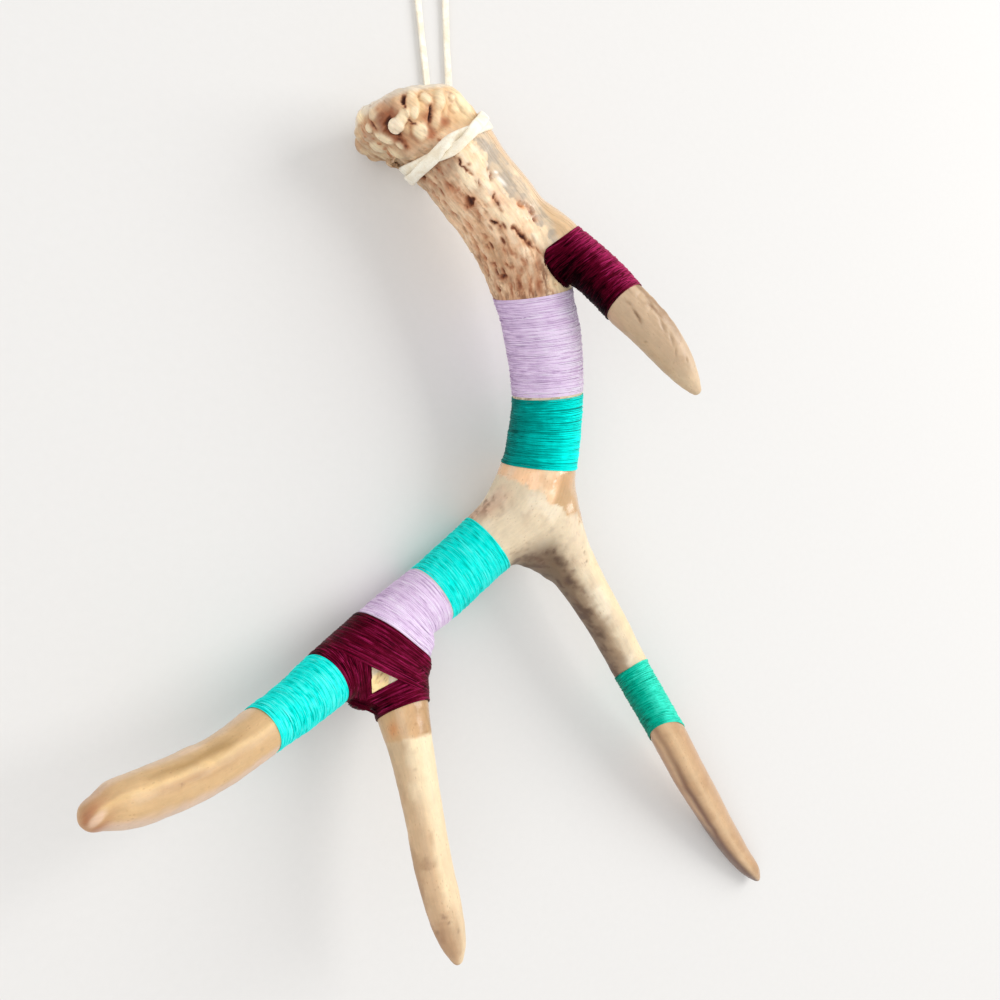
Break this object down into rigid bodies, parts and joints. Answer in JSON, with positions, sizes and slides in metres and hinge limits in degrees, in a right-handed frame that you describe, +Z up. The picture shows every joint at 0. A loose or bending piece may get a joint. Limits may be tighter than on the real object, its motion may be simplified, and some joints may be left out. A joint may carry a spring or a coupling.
{
  "type": "thread-wrapped deer antler",
  "caption": "Shed deer antler with a knobby burr and three tines, bound in bands of coloured thread, with a suede neck lashing and hanging lace.",
  "frame": {"origin": "middle of the footprint of the antler without its lace, on the surface that it lies on", "axes": "+Z up from the surface, +Y from the tine points towards the burr along the longest side, +X towards the back tine"},
  "size_m": [0.3378, 0.4369, 0.0768],
  "materials": {
    "antler": "satin",
    "thread_maroon": "satin",
    "thread_lavender": "satin",
    "thread_teal": "satin",
    "thread_turquoise": "satin",
    "suede": "matte"
  },
  "bodies": {
    "root": {"burr_beam": "antler", "brow_tine": "antler", "mid_beam": "antler", "back_tine": "antler", "fore_beam": "antler", "fore_tine": "antler", "beam_tip": "antler", "brow_wrap_maroon": "thread_maroon", "beam_wrap_lavender": "thread_lavender", "beam_wrap_teal": "thread_teal", "branch_wrap_turquoise": "thread_turquoise", "branch_wrap_lavender": "thread_lavender", "fork_wrap_maroon": "thread_maroon", "tip_wrap_turquoise": "thread_turquoise", "tine_wrap_teal": "thread_teal", "neck_lashing": "suede", "hanging_lace": "suede"}
  },
  "joints": []
}
